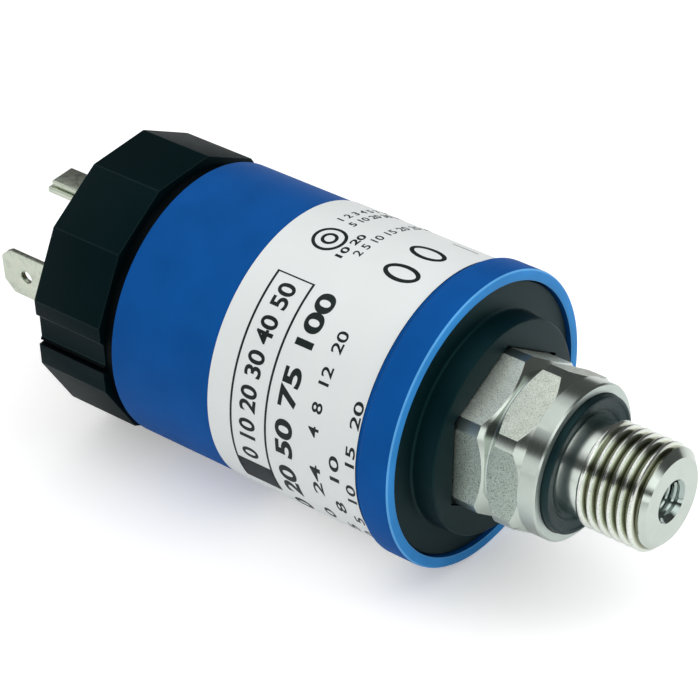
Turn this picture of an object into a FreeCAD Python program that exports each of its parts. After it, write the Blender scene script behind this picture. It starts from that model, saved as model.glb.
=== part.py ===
"""Pressure transmitter with a G 1/4 stud, a plastic body and a blade connector.

Millimetres. The origin is the middle of the sealing face, where the stud leaves the collar.
+X points out of the process port, the connector is at -X, and +Z is up as the body lies.
"""
import FreeCAD, Part
import math
import os
from FreeCAD import Vector

# Process stud, G 1/4, with a ring groove for each turn of the thread
stud_thread_d = 13.157
thread_pitch = 1.337
thread_depth = 0.856
thread_land = 0.223
stud_length = 12.0
stud_tip_d = 10.8
stud_tip_chamfer = 1.0
neck_d = 11.7
neck_length = 3.0
port_bore_d = 4.2
port_mouth_d = 5.4

# Collar and the two turned hexagons of the fitting
collar_d = 19.3
collar_length = 2.3
recess_d = 17.1
recess_depth = 1.5
edge_break = 0.2
hex_flats = 19.0
hex_turned_d = 21.1
hex_turn = 23.6
hex_chamfer_length = 1.0
front_hex_length = 2.5
hex_groove_length = 2.45
hex_groove_d = 18.3
hex_groove_floor = 0.2
rear_hex_length = 2.95

# Threaded shank of the fitting, behind the front disc
shank_d = 16.0
cell_groove_d = 12.6
seal_reach = 0.85
seal_step = 0.3

# Round cord sections of the O-rings
shank_cord = 0.9
disc_cord = 1.0
cell_cord = 1.2
cap_cord = 1.0
groove_play = 0.1

# Front disc
boss_d = 26.7
boss_height = 3.1
boss_draft = 0.2
disc_edge_thickness = 2.0
rim_lead = 0.5

# Housing sleeve
rim_d = 37.0
rim_mouth_d = 34.2
rim_width = 4.1
rim_run_out = 0.6
rim_edge_radius = 0.3
body_d = 35.4
body_wall = 1.8
sleeve_length = 42.4
clamp_flange_thickness = 1.2

# Wrap label
label_offset = 0.4
label_width = 22.0
label_thickness = 0.12
label_gap_angle = 6.0
label_gap_place = 210.0

# Connector cap
cap_sides = 12
cap_inset = 0.3
cap_length = 10.6
cap_neck_inset = 1.1
cap_neck_length = 2.5
cap_edge = 0.25
cap_spigot_length = 6.2
cap_spigot_wall = 1.8
cap_end_wall = 4.8
channel_top = 2.6
channel_bottom = -1.5
channel_slope = 0.8
channel_depth = 0.5
snap_ring_width = 1.0
snap_ring_thickness = 1.3
snap_ring_gap_angle = 40.0
snap_ring_place = 1.4

# Contact carrier and contacts
carrier_d = 25.0
carrier_flange_thickness = 2.5
carrier_stand = 1.0
blade_width = 6.3
blade_thickness = 0.8
blade_offset = 9.2
blade_reach = 12.0
blade_tip_width = 3.4
blade_tip_length = 1.5
blade_hole_d = 1.75
blade_hole_place = 4.2
blade_stop_width = 7.9
blade_stop_length = 1.2
blade_tail_width = 2.0
blade_tail_length = 1.2
earth_width = 4.7
earth_thickness = 1.7
earth_reach = 9.6
earth_tip_length = 0.4
earth_fold_radius = 0.5
insert_d = 5.4
insert_bore_d = 2.5
insert_flange_d = 7.0
insert_flange_thickness = 1.0
vent_d = 3.2
vent_thickness = 1.0
vent_hole_d = 1.2
vent_place = 7.4
vent_angle = 225.0

# Sensor cell and its housing
cell_d = 18.0
cell_thickness = 6.35
cell_edge = 0.3
cell_housing_wall = 4.4
cell_flange_play = 0.7
cell_flange_thickness = 2.0
cell_web_thickness = 3.7
clamp_ring_thickness = 2.6
clamp_ring_wall = 3.1
clamp_slot_width = 2.0
clamp_slot_depth = 1.0

# Circuit board, its carrier and what is soldered to it
board_thickness = 1.6
board_half_width = 13.2
board_lead_in = 2.0
board_carrier_wall = 1.5
board_rail_depth = 2.2
board_rail_height = 5.0
board_window_height = 9.0
lead_d = 0.6
lead_pitch = 2.0
lead_count = 4
lead_overlap = 3.0
chip_end = 0.49
chip_gap = 2.0
chip_width = 3.9
chip_height = 1.5
chip_legs = 7
chip_leg_pitch = 1.27
chip_leg_width = 0.4
chip_leg_reach = 1.0
chip_leg_thickness = 0.2
chip_leg_bend = 0.3
regulator_length = 6.5
regulator_width = 6.0
regulator_height = 2.3
regulator_tab_length = 1.6
regulator_tab_width = 3.0
regulator_tab_thickness = 0.6
capacitor_length = 3.2
capacitor_width = 1.6
capacitor_height = 1.5
capacitor_count = 3
capacitor_pitch = 3.4
diode_length = 4.3
diode_width = 2.6
diode_height = 2.1
diode_pitch = 6.0
diode_count = 2
wire_d = 1.0

# Clearances, and the size under which an edge counts as a point
fit = 0.1
slide = 0.2
tolerance = 1e-6

# Places along the axis, from the port back to the connector
stud_tip_x = stud_length
recess_floor_x = -recess_depth
collar_back_x = -collar_length
front_hex_x = collar_back_x - hex_chamfer_length
groove_front_x = front_hex_x - front_hex_length
groove_back_x = groove_front_x - hex_groove_length
boss_face_x = groove_back_x - rear_hex_length
disc_step_x = boss_face_x - boss_height
disc_back_x = disc_step_x - disc_edge_thickness
rim_front_x = disc_step_x + rim_lead
clamp_back_x = disc_back_x - clamp_flange_thickness
cell_flange_back_x = clamp_back_x - cell_flange_thickness
cell_front_x = disc_back_x - cell_web_thickness
cell_back_x = cell_front_x - cell_thickness
cell_housing_back_x = cell_back_x - clamp_ring_thickness
rim_back_x = rim_front_x - rim_width
body_front_x = rim_back_x - rim_run_out
label_front_x = body_front_x - label_offset
label_back_x = label_front_x - label_width
sleeve_back_x = rim_front_x - sleeve_length
spigot_front_x = sleeve_back_x + cap_spigot_length
cap_front_x = sleeve_back_x - cap_neck_length
cap_back_x = cap_front_x - cap_length
cap_wall_x = cap_back_x + cap_end_wall
flange_front_x = cap_wall_x + carrier_flange_thickness
carrier_back_x = cap_back_x - carrier_stand
board_front_x = cell_housing_back_x - board_lead_in
tail_front_x = flange_front_x + blade_stop_length
tail_end_x = tail_front_x + blade_tail_length

# Radii that several pieces share
stud_r = stud_thread_d / 2
shank_r = shank_d / 2
bore_r = port_bore_d / 2
hex_turned_r = hex_turned_d / 2
disc_r = rim_mouth_d / 2 - fit
body_r = body_d / 2
cap_flats = body_d - 2 * cap_inset
cap_neck_r = body_r - cap_neck_inset
sleeve_bore_r = body_r - body_wall
spigot_r = sleeve_bore_r - fit
cavity_r = spigot_r - cap_spigot_wall
cell_bore_r = cell_d / 2 + fit
cell_housing_r = cell_bore_r + cell_housing_wall
clamp_flange_hole_r = cell_housing_r + fit
board_top_z = board_thickness / 2


def domed_side(start, end):
    """Arc between two (x, radius) corners, about a point of the X axis."""
    centre_x = (end[0] ** 2 + end[1] ** 2 - start[0] ** 2 - start[1] ** 2) / (2 * (end[0] - start[0]))
    centre = Vector(centre_x, 0, 0)
    first = Vector(start[0], 0, start[1])
    last = Vector(end[0], 0, end[1])
    outward = (first + last) / 2 - centre
    middle = centre + outward * (first.distanceToPoint(centre) / outward.Length)
    return Part.Arc(first, middle, last).toShape()


def turned(points, domed=()):
    """Solid turned about the X axis from (x, radius) corners, in order.

    The side that starts at a corner in domed is an arc in place of a line.
    """
    sides = []
    for start, end in zip(points, points[1:] + points[:1]):
        if start in domed:
            sides.append(domed_side(start, end))
        else:
            sides.append(Part.makeLine(Vector(start[0], 0, start[1]), Vector(end[0], 0, end[1])))
    face = Part.Face(Part.Wire(sides))
    return face.revolve(Vector(0, 0, 0), Vector(1, 0, 0), 360)


def bar(x_from, x_to, radius, y=0.0, z=0.0):
    """Round bar along X between two places."""
    low = min(x_from, x_to)
    return Part.makeCylinder(radius, abs(x_to - x_from), Vector(low, y, z), Vector(1, 0, 0))


def tube(x_from, x_to, outer_r, inner_r):
    """Round tube along X between two places."""
    return bar(x_from, x_to, outer_r).cut(bar(x_from, x_to, inner_r))


def block(x_from, x_to, y_from, y_to, z_from, z_to):
    """Rectangular block between two opposite corners."""
    low = Vector(min(x_from, x_to), min(y_from, y_to), min(z_from, z_to))
    return Part.makeBox(abs(x_to - x_from), abs(y_to - y_from), abs(z_to - z_from), low)


def o_ring(middle_x, middle_r, cord_d):
    """Round-section ring about the X axis."""
    return Part.makeTorus(middle_r, cord_d / 2, Vector(middle_x, 0, 0), Vector(1, 0, 0))


def prism(sides, across_flats, x_from, x_to, turn):
    """Regular prism along X; turn is the angle of one flat's normal from +Z toward -Y."""
    corner_r = across_flats / 2 / math.cos(math.pi / sides)
    corners = []
    for index in range(sides + 1):
        angle = math.radians(turn) + math.pi / sides * (2 * index + 1)
        corners.append(Vector(x_from, -corner_r * math.sin(angle), corner_r * math.cos(angle)))
    face = Part.Face(Part.makePolygon(corners))
    return face.extrude(Vector(x_to - x_from, 0, 0))


def turn_about_x(shape, degrees):
    """Copy of a shape turned about the X axis, from +Z toward -Y."""
    copy = shape.copy()
    copy.rotate(Vector(0, 0, 0), Vector(1, 0, 0), degrees)
    return copy


def wire_run(points, diameter):
    """Round wire through the points, with ball corners."""
    radius = diameter / 2
    run = None
    for start, end in zip(points, points[1:]):
        piece = Part.makeCylinder(radius, start.distanceToPoint(end), start, end - start)
        run = piece if run is None else run.fuse(piece)
    for corner in points[1:-1]:
        run = run.fuse(Part.makeSphere(radius, corner))
    return run.removeSplitter()


def thread_grooves(front_x, back_x):
    """Corners of the ring grooves between two ends of the thread, from the front one back."""
    root_r = stud_r - thread_depth
    flank = thread_pitch / 2 - thread_land
    corners = []
    for turn in range(int((front_x - back_x) / thread_pitch)):
        groove_x = front_x - thread_land - turn * thread_pitch
        corners += [
            (groove_x, stud_r),
            (groove_x - flank, root_r),
            (groove_x - flank - thread_land, root_r),
            (groove_x - 2 * flank - thread_land, stud_r),
        ]
    return corners


def pressure_fitting():
    mouth_depth = (port_mouth_d - port_bore_d) / 2
    thread_front_x = stud_tip_x - stud_tip_chamfer
    thread_back_x = neck_length + stud_r - neck_d / 2
    collar_r = collar_d / 2
    groove_r = hex_groove_d / 2
    groove_middle_x = (groove_front_x + groove_back_x) / 2
    ring_floor_x = cell_front_x + cell_cord
    hex_chamfer = (collar_back_x, collar_r)
    groove_front_flank = (groove_front_x, hex_turned_r)
    groove_back_flank = (groove_middle_x - hex_groove_floor / 2, groove_r)
    outside = turned([
        (stud_tip_x, 0),
        (stud_tip_x, stud_tip_d / 2),
        (thread_front_x, stud_r),
        *thread_grooves(thread_front_x, thread_back_x),
        (thread_back_x, stud_r),
        (neck_length, neck_d / 2),
        (recess_floor_x, neck_d / 2),
        (recess_floor_x, recess_d / 2),
        (0, recess_d / 2),
        (0, collar_r - edge_break),
        (-edge_break, collar_r),
        hex_chamfer,
        (front_hex_x, hex_turned_r),
        groove_front_flank,
        (groove_middle_x + hex_groove_floor / 2, groove_r),
        groove_back_flank,
        (groove_back_x, hex_turned_r),
        (boss_face_x, hex_turned_r),
        (boss_face_x, shank_r),
        (cell_front_x, shank_r),
        (cell_front_x, 0),
    ], domed=[hex_chamfer, groove_front_flank, groove_back_flank])
    hexagon = prism(6, hex_flats, boss_face_x, collar_back_x, hex_turn)
    round_parts = bar(collar_back_x, stud_tip_x, hex_turned_r).fuse(bar(cell_front_x, boss_face_x, shank_r))
    body = outside.common(hexagon.fuse(round_parts))
    mouth = Part.makeCone(bore_r, port_mouth_d / 2, mouth_depth,
                          Vector(stud_tip_x - mouth_depth, 0, 0), Vector(1, 0, 0))
    body = body.cut(bar(cell_front_x, stud_tip_x, bore_r)).cut(mouth)
    body = body.cut(shank_ring_groove())
    inner_r = cell_groove_d / 2 - cell_cord / 2 - groove_play
    outer_r = cell_groove_d / 2 + cell_cord / 2 + groove_play
    return body.cut(tube(cell_front_x, ring_floor_x, outer_r, inner_r))


def shank_ring_middle():
    """Place and radius of the O-ring round the shank, which touches the disc's bore."""
    return (boss_face_x + disc_back_x) / 2, shank_r + fit - shank_cord / 2


def shank_ring_groove():
    middle_x, middle_r = shank_ring_middle()
    half = shank_cord / 2 + groove_play
    return tube(middle_x - half, middle_x + half, shank_r + fit, middle_r - shank_cord / 2)


def port_seal_ring():
    outer_r = recess_d / 2 - fit
    inner_r = neck_d / 2 + fit
    lip_r = (outer_r + inner_r) / 2
    return turned([
        (recess_floor_x, inner_r),
        (recess_floor_x, outer_r),
        (seal_reach - seal_step, outer_r),
        (seal_reach, outer_r - seal_step),
        (seal_reach, lip_r),
        (seal_reach - seal_step, lip_r - seal_step),
        (seal_reach - seal_step, inner_r),
    ])


def front_disc():
    hole_r = shank_r + fit
    boss_r = boss_d / 2
    body = turned([
        (boss_face_x, hole_r),
        (boss_face_x, boss_r - edge_break),
        (boss_face_x - edge_break, boss_r),
        (disc_step_x, boss_r + boss_draft),
        (disc_step_x, disc_r - edge_break),
        (disc_step_x - edge_break, disc_r),
        (disc_back_x, disc_r),
        (disc_back_x, hole_r),
    ])
    middle_x, middle_r = disc_ring_middle()
    half = disc_cord / 2 + groove_play
    return body.cut(tube(middle_x - half, middle_x + half, disc_r + fit, middle_r - disc_cord / 2))


def disc_ring_middle():
    """Place and radius of the O-ring on the disc's edge, which touches the rim's mouth."""
    return (disc_step_x + disc_back_x) / 2, rim_mouth_d / 2 - disc_cord / 2


def housing_sleeve():
    rim_r = rim_d / 2
    body = turned([
        (rim_front_x, rim_mouth_d / 2),
        (rim_front_x, rim_r - rim_edge_radius),
        (rim_front_x - rim_edge_radius, rim_r),
        (rim_back_x, rim_r),
        (body_front_x, body_r),
        (sleeve_back_x + edge_break, body_r),
        (sleeve_back_x, body_r - edge_break),
        (sleeve_back_x, sleeve_bore_r),
        (clamp_back_x, sleeve_bore_r),
        (clamp_back_x, clamp_flange_hole_r),
        (disc_back_x, clamp_flange_hole_r),
        (disc_back_x, rim_mouth_d / 2),
    ])
    front, back = snap_ring_span()
    outer_r, inner_r = snap_ring_radii()
    return body.cut(tube(back - groove_play, front + groove_play, outer_r + fit, inner_r))


def snap_ring_span():
    """Front and back of the snap ring that locks the cap's spigot in the sleeve."""
    front = spigot_front_x - snap_ring_place
    return front, front - snap_ring_width


def snap_ring_radii():
    """Outer and inner radius of the snap ring, half in the spigot and half in the sleeve."""
    middle_r = (spigot_r + sleeve_bore_r) / 2
    return middle_r + snap_ring_thickness / 2 - fit, middle_r - snap_ring_thickness / 2


def cap_snap_ring():
    front, back = snap_ring_span()
    outer_r, inner_r = snap_ring_radii()
    ring = tube(back, front, outer_r, inner_r)
    wedge = Part.makeCylinder(outer_r + slide, snap_ring_width, Vector(back, 0, 0), Vector(1, 0, 0),
                              snap_ring_gap_angle)
    return ring.cut(wedge)


def wrap_label():
    outer_r = body_r + label_thickness
    corners = [Vector(label_front_x, 0, body_r), Vector(label_front_x, 0, outer_r),
               Vector(label_back_x, 0, outer_r), Vector(label_back_x, 0, body_r)]
    face = Part.Face(Part.makePolygon(corners + corners[:1]))
    sheet = face.revolve(Vector(0, 0, 0), Vector(1, 0, 0), 360 - label_gap_angle)
    return turn_about_x(sheet, label_gap_place)


def cap_channel():
    """Shallow keying channel along the side of the cap that faces -Y."""
    face_y = -cap_flats / 2
    beyond = channel_depth
    corners = [
        Vector(cap_back_x, face_y - beyond, channel_top + channel_slope),
        Vector(cap_back_x, face_y + channel_depth, channel_top - channel_slope),
        Vector(cap_back_x, face_y + channel_depth, channel_bottom + channel_slope),
        Vector(cap_back_x, face_y - beyond, channel_bottom - channel_slope),
    ]
    face = Part.Face(Part.makePolygon(corners + corners[:1]))
    return face.extrude(Vector(cap_length, 0, 0))


def cap_ring_middle():
    """Place and radius of the O-ring on the cap's spigot, which touches the sleeve's bore."""
    behind_snap_ring = snap_ring_span()[1]
    return (behind_snap_ring + sleeve_back_x) / 2, sleeve_bore_r - cap_cord / 2


def connector_cap():
    head = prism(cap_sides, cap_flats, cap_back_x, cap_front_x, 0)
    end_edges = [edge for edge in head.Edges if edge.BoundBox.XLength < tolerance]
    head = head.makeChamfer(cap_edge, end_edges).cut(cap_channel())
    neck = bar(cap_front_x, sleeve_back_x, cap_neck_r)
    spigot = bar(sleeve_back_x, spigot_front_x, spigot_r)
    body = head.fuse(neck).fuse(spigot)
    body = body.cut(bar(cap_wall_x, spigot_front_x, cavity_r))
    body = body.cut(bar(cap_back_x, cap_wall_x, carrier_d / 2 + fit))
    middle_x, middle_r = cap_ring_middle()
    half = cap_cord / 2 + groove_play
    body = body.cut(tube(middle_x - half, middle_x + half, spigot_r + fit, middle_r - cap_cord / 2))
    front, back = snap_ring_span()
    inner_r = snap_ring_radii()[1]
    body = body.cut(tube(back - groove_play, front + groove_play, spigot_r + fit, inner_r))
    return body.removeSplitter()


def flat_blade():
    """Flat contact on the -Y side: tip, stop collar and solder tail."""
    tip_x = cap_back_x - blade_reach - carrier_stand
    half = blade_width / 2
    tip_half = blade_tip_width / 2
    stop_half = blade_stop_width / 2
    tail_half = blade_tail_width / 2
    outline = [
        (tip_x, -tip_half), (tip_x, tip_half), (tip_x + blade_tip_length, half),
        (flange_front_x, half), (flange_front_x, stop_half), (tail_front_x, stop_half),
        (tail_front_x, -stop_half), (flange_front_x, -stop_half), (flange_front_x, -half),
        (tip_x + blade_tip_length, -half),
    ]
    y = -blade_offset - blade_thickness / 2
    corners = [Vector(x, y, z) for x, z in outline]
    blade = Part.Face(Part.makePolygon(corners + corners[:1])).extrude(Vector(0, blade_thickness, 0))
    tail = block(tail_front_x, tail_end_x, y, y + blade_thickness, -tail_half, tail_half)
    hole = Part.makeCylinder(blade_hole_d / 2, blade_thickness,
                             Vector(tip_x + blade_hole_place, y, 0), Vector(0, 1, 0))
    return blade.fuse(tail).cut(hole).removeSplitter()


def earth_blade():
    """Folded earth contact on the +Z side, of double thickness with a round fold."""
    tip_x = cap_back_x - earth_reach - carrier_stand
    half = earth_width / 2
    low = blade_offset - earth_thickness / 2
    tip_half = half - earth_tip_length
    outline = [
        (tip_x, -tip_half), (tip_x, tip_half), (tip_x + earth_tip_length, half),
        (flange_front_x, half), (flange_front_x, -half), (tip_x + earth_tip_length, -half),
    ]
    corners = [Vector(x, y, low) for x, y in outline]
    blade = Part.Face(Part.makePolygon(corners + corners[:1])).extrude(Vector(0, 0, earth_thickness))
    fold_edges = [edge for edge in blade.Edges if edge.BoundBox.YLength < tolerance
                  and edge.BoundBox.ZLength < tolerance and edge.BoundBox.YMax < 0]
    blade = blade.makeFillet(earth_fold_radius, fold_edges)
    stop_half = blade_stop_width / 2
    stop = block(flange_front_x, tail_front_x, -stop_half, stop_half, low, low + earth_thickness)
    tail_half = blade_tail_width / 2
    tail = block(tail_front_x, tail_end_x, -tail_half, tail_half, low, low + earth_thickness)
    return blade.fuse(stop).fuse(tail).removeSplitter()


def plug_screw_insert():
    """Threaded brass insert for the screw that holds the plug, drawn at its minor diameter."""
    body = bar(carrier_back_x, flange_front_x, insert_d / 2)
    flange = bar(flange_front_x, flange_front_x + insert_flange_thickness, insert_flange_d / 2)
    bore = bar(carrier_back_x, flange_front_x + insert_flange_thickness, insert_bore_d / 2)
    return body.fuse(flange).cut(bore).removeSplitter()


def vent_middle():
    """Y and Z of the vent, on a circle between the contacts."""
    angle = math.radians(vent_angle)
    return -vent_place * math.sin(angle), vent_place * math.cos(angle)


def vent_filter():
    y, z = vent_middle()
    return bar(carrier_back_x, carrier_back_x + vent_thickness, vent_d / 2, y, z)


def contact_carrier():
    body = bar(carrier_back_x, cap_wall_x, carrier_d / 2)
    body = body.fuse(bar(cap_wall_x, flange_front_x, cavity_r - fit)).removeSplitter()
    for quarter in (0, 90, 180):
        body = body.cut(turn_about_x(flat_blade(), quarter))
    body = body.cut(earth_blade())
    body = body.cut(bar(carrier_back_x, flange_front_x, insert_d / 2))
    y, z = vent_middle()
    body = body.cut(bar(carrier_back_x, carrier_back_x + vent_thickness, vent_d / 2, y, z))
    return body.cut(bar(carrier_back_x, flange_front_x, vent_hole_d / 2, y, z))


def cell_housing():
    flange_r = sleeve_bore_r - cell_flange_play
    return turned([
        (disc_back_x, shank_r),
        (disc_back_x, cell_housing_r),
        (clamp_back_x, cell_housing_r),
        (clamp_back_x, flange_r),
        (cell_flange_back_x, flange_r),
        (cell_flange_back_x, cell_housing_r),
        (cell_housing_back_x, cell_housing_r),
        (cell_housing_back_x, cell_bore_r),
        (cell_front_x, cell_bore_r),
        (cell_front_x, shank_r),
    ])


def sensor_cell():
    radius = cell_d / 2
    return turned([
        (cell_front_x, 0),
        (cell_front_x, radius - cell_edge),
        (cell_front_x - cell_edge, radius),
        (cell_back_x, radius),
        (cell_back_x, 0),
    ])


def cell_clamp_ring():
    ring = tube(cell_housing_back_x, cell_back_x, cell_bore_r, cell_bore_r - clamp_ring_wall)
    half = clamp_slot_width / 2
    slot_front_x = cell_housing_back_x + clamp_slot_depth
    slot = block(cell_housing_back_x, slot_front_x, -half, half, -cell_bore_r, cell_bore_r)
    return ring.cut(slot)


def cell_leads():
    """Row of straight wires from the back of the cell onto the board."""
    z = board_top_z + lead_d / 2
    leads = []
    for index in range(lead_count):
        y = (index - (lead_count - 1) / 2) * lead_pitch
        leads.append(bar(board_front_x - lead_overlap, cell_back_x, lead_d / 2, y, z))
    return Part.makeCompound(leads)


def circuit_board():
    return block(board_front_x, tail_end_x, -board_half_width, board_half_width,
                 -board_top_z, board_top_z)


def board_carrier():
    """Slotted tube that holds the board between the cell housing and the cap."""
    outer_r = sleeve_bore_r - fit
    inner_r = outer_r - board_carrier_wall
    back_x = spigot_front_x + slide
    shell = tube(back_x, cell_housing_back_x, outer_r, inner_r)
    window = block(back_x, board_front_x, -outer_r, outer_r, board_window_height, outer_r)
    shell = shell.cut(window)
    rail_inner_y = board_half_width - board_rail_depth
    half = board_rail_height / 2
    keep = bar(back_x, cell_housing_back_x, inner_r + board_carrier_wall / 2)
    for side in (-1, 1):
        rail = block(back_x, cell_housing_back_x, side * rail_inner_y, side * outer_r, -half, half)
        shell = shell.fuse(rail.common(keep))
    slot = block(back_x, board_front_x, -board_half_width - slide, board_half_width + slide,
                 -board_top_z, board_top_z)
    return shell.cut(slot).removeSplitter()


def amplifier_chip():
    half_length = (chip_legs - 1) / 2 * chip_leg_pitch + chip_end
    middle_x = board_front_x - lead_overlap - chip_gap - half_length
    stand = chip_leg_thickness
    body = block(middle_x - half_length, middle_x + half_length, -chip_width / 2, chip_width / 2,
                 board_top_z + stand, board_top_z + stand + chip_height)
    leg_z = board_top_z + stand + chip_height / 2
    for index in range(chip_legs):
        x = middle_x + (index - (chip_legs - 1) / 2) * chip_leg_pitch
        for side in (-1, 1):
            inner_y = side * chip_width / 2
            outer_y = side * (chip_width / 2 + chip_leg_reach)
            bend_y = side * (chip_width / 2 + chip_leg_bend)
            low_x = x - chip_leg_width / 2
            high_x = x + chip_leg_width / 2
            top = block(low_x, high_x, inner_y, bend_y, leg_z, leg_z + chip_leg_thickness)
            drop = block(low_x, high_x, bend_y - side * chip_leg_thickness, bend_y, board_top_z,
                         leg_z + chip_leg_thickness)
            foot = block(low_x, high_x, bend_y - side * chip_leg_thickness, outer_y, board_top_z,
                         board_top_z + chip_leg_thickness)
            body = body.fuse(top).fuse(drop).fuse(foot)
    return body.removeSplitter()


def voltage_regulator():
    front_x = board_front_x - lead_overlap - regulator_tab_length
    half = regulator_width / 2
    body = block(front_x - regulator_length, front_x, -half, half,
                 -board_top_z - regulator_height, -board_top_z)
    tab_half = regulator_tab_width / 2
    tab = block(front_x, front_x + regulator_tab_length, -tab_half, tab_half,
                -board_top_z - regulator_tab_thickness, -board_top_z)
    return body.fuse(tab).removeSplitter()


def row_of_blocks(count, pitch, first_x, middle_y, size, on_top):
    """Like parts in a row along X, soldered on the top or the underside of the board."""
    length, width, height = size
    parts = []
    for index in range(count):
        x = first_x - index * pitch
        low_z = board_top_z if on_top else -board_top_z - height
        parts.append(block(x - length, x, middle_y - width / 2, middle_y + width / 2,
                           low_z, low_z + height))
    return Part.makeCompound(parts)


def filter_capacitors():
    size = (capacitor_width, capacitor_length, capacitor_height)
    first_x = board_front_x - lead_overlap - capacitor_width
    return row_of_blocks(capacitor_count, capacitor_pitch, first_x, board_half_width / 2, size, True)


def surge_diodes():
    size = (diode_length, diode_width, diode_height)
    first_x = tail_end_x + diode_count * diode_pitch
    return row_of_blocks(diode_count, diode_pitch, first_x, -board_half_width / 2, size, True)


def contact_lead(side):
    """Wire from the tail of the contact above or below the board to the board's face."""
    tail_z = side * blade_offset
    board_z = side * (board_top_z + wire_d / 2)
    landing_x = tail_end_x + blade_offset - wire_d
    points = [
        Vector(tail_end_x, 0, tail_z),
        Vector(tail_end_x + 2 * wire_d, 0, tail_z),
        Vector(landing_x, 0, board_z),
        Vector(landing_x + 2 * wire_d, 0, board_z),
    ]
    return wire_run(points, wire_d)


def build_nodes():
    """Every piece by its name."""
    return {
        "pressure_fitting": pressure_fitting(),
        "port_seal_ring": port_seal_ring(),
        "front_disc": front_disc(),
        "housing_sleeve": housing_sleeve(),
        "wrap_label": wrap_label(),
        "connector_cap": connector_cap(),
        "contact_carrier": contact_carrier(),
        "contact_blade_1": flat_blade(),
        "contact_blade_2": turn_about_x(flat_blade(), 180),
        "contact_blade_3": turn_about_x(flat_blade(), 90),
        "earth_blade": earth_blade(),
        "plug_screw_insert": plug_screw_insert(),
        "vent_filter": vent_filter(),
        "cap_seal_ring": o_ring(*cap_ring_middle(), cap_cord),
        "cap_snap_ring": cap_snap_ring(),
        "disc_seal_ring": o_ring(*disc_ring_middle(), disc_cord),
        "fitting_seal_ring": o_ring(*shank_ring_middle(), shank_cord),
        "cell_housing": cell_housing(),
        "sensor_cell": sensor_cell(),
        "cell_seal_ring": o_ring(cell_front_x + cell_cord / 2, cell_groove_d / 2, cell_cord),
        "cell_clamp_ring": cell_clamp_ring(),
        "cell_leads": cell_leads(),
        "circuit_board": circuit_board(),
        "board_carrier": board_carrier(),
        "amplifier_chip": amplifier_chip(),
        "voltage_regulator": voltage_regulator(),
        "filter_capacitors": filter_capacitors(),
        "surge_diodes": surge_diodes(),
        "earth_lead": contact_lead(1),
        "signal_lead": contact_lead(-1),
    }


def main():
    os.makedirs("parts", exist_ok=True)
    for name, shape in build_nodes().items():
        shape.exportStep(f"parts/{name}.step")
        print(name, len(shape.Solids), "solids", round(shape.Volume, 1), "mm3")


main()
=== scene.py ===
import math

import bpy
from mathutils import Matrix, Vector


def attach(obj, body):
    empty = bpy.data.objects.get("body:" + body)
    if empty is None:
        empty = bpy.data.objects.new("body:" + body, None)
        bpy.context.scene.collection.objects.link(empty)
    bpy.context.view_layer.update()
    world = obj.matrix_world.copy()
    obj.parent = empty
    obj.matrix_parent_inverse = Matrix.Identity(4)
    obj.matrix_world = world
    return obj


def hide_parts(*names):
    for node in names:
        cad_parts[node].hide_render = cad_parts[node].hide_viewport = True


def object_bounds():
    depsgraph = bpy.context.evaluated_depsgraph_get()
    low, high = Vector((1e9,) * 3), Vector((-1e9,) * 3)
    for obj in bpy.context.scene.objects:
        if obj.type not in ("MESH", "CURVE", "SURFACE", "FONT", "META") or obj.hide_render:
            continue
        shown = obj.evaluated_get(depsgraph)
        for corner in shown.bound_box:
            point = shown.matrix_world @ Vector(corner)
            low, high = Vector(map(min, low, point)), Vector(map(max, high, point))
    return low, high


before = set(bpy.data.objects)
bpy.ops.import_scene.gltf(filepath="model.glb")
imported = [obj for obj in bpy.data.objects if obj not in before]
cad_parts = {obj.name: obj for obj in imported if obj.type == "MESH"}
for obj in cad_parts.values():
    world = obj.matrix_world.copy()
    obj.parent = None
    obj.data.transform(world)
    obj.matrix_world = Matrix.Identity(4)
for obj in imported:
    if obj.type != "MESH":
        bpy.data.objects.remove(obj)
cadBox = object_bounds()
print("frame loaded:", len(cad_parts), "nodes")

scene = bpy.context.scene
scene.view_settings.view_transform = "Standard"
mm = 0.001  # the scene is in metres, and the sizes below are in millimetres


# modelling helpers

def selectOnly(piece):
    bpy.ops.object.select_all(action="DESELECT")
    piece.select_set(True)
    bpy.context.view_layer.objects.active = piece


def editMode(piece):
    selectOnly(piece)
    bpy.ops.object.mode_set(mode="EDIT")
    bpy.ops.mesh.select_mode(type="VERT")


def objectMode():
    bpy.ops.object.mode_set(mode="OBJECT")


def settle(piece):
    # the place goes into the mesh, so the object ends at the origin
    selectOnly(piece)
    bpy.ops.object.transform_apply(location=True, rotation=True, scale=True)


def cleanUp(piece, gap=0.0005):
    # doubles merged and faces turned outwards
    editMode(piece)
    bpy.ops.mesh.select_all(action="SELECT")
    bpy.ops.mesh.remove_doubles(threshold=gap * mm)
    bpy.ops.mesh.normals_make_consistent(inside=False)
    objectMode()


def pickVertices(piece, test):
    # in edit mode: selects the vertices whose place in millimetres passes the test
    bpy.ops.mesh.select_all(action="DESELECT")
    bpy.ops.mesh.select_mode(type="VERT")
    objectMode()
    for vertex in piece.data.vertices:
        place = piece.matrix_world @ vertex.co / mm
        vertex.select = test(place)
    bpy.ops.object.mode_set(mode="EDIT")


def pickFaces(piece, test):
    # the same for faces, by their middle and normal
    bpy.ops.mesh.select_all(action="DESELECT")
    bpy.ops.mesh.select_mode(type="FACE")
    objectMode()
    for face in piece.data.polygons:
        face.select = test(face.center / mm, face.normal)
    bpy.ops.object.mode_set(mode="EDIT")


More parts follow.
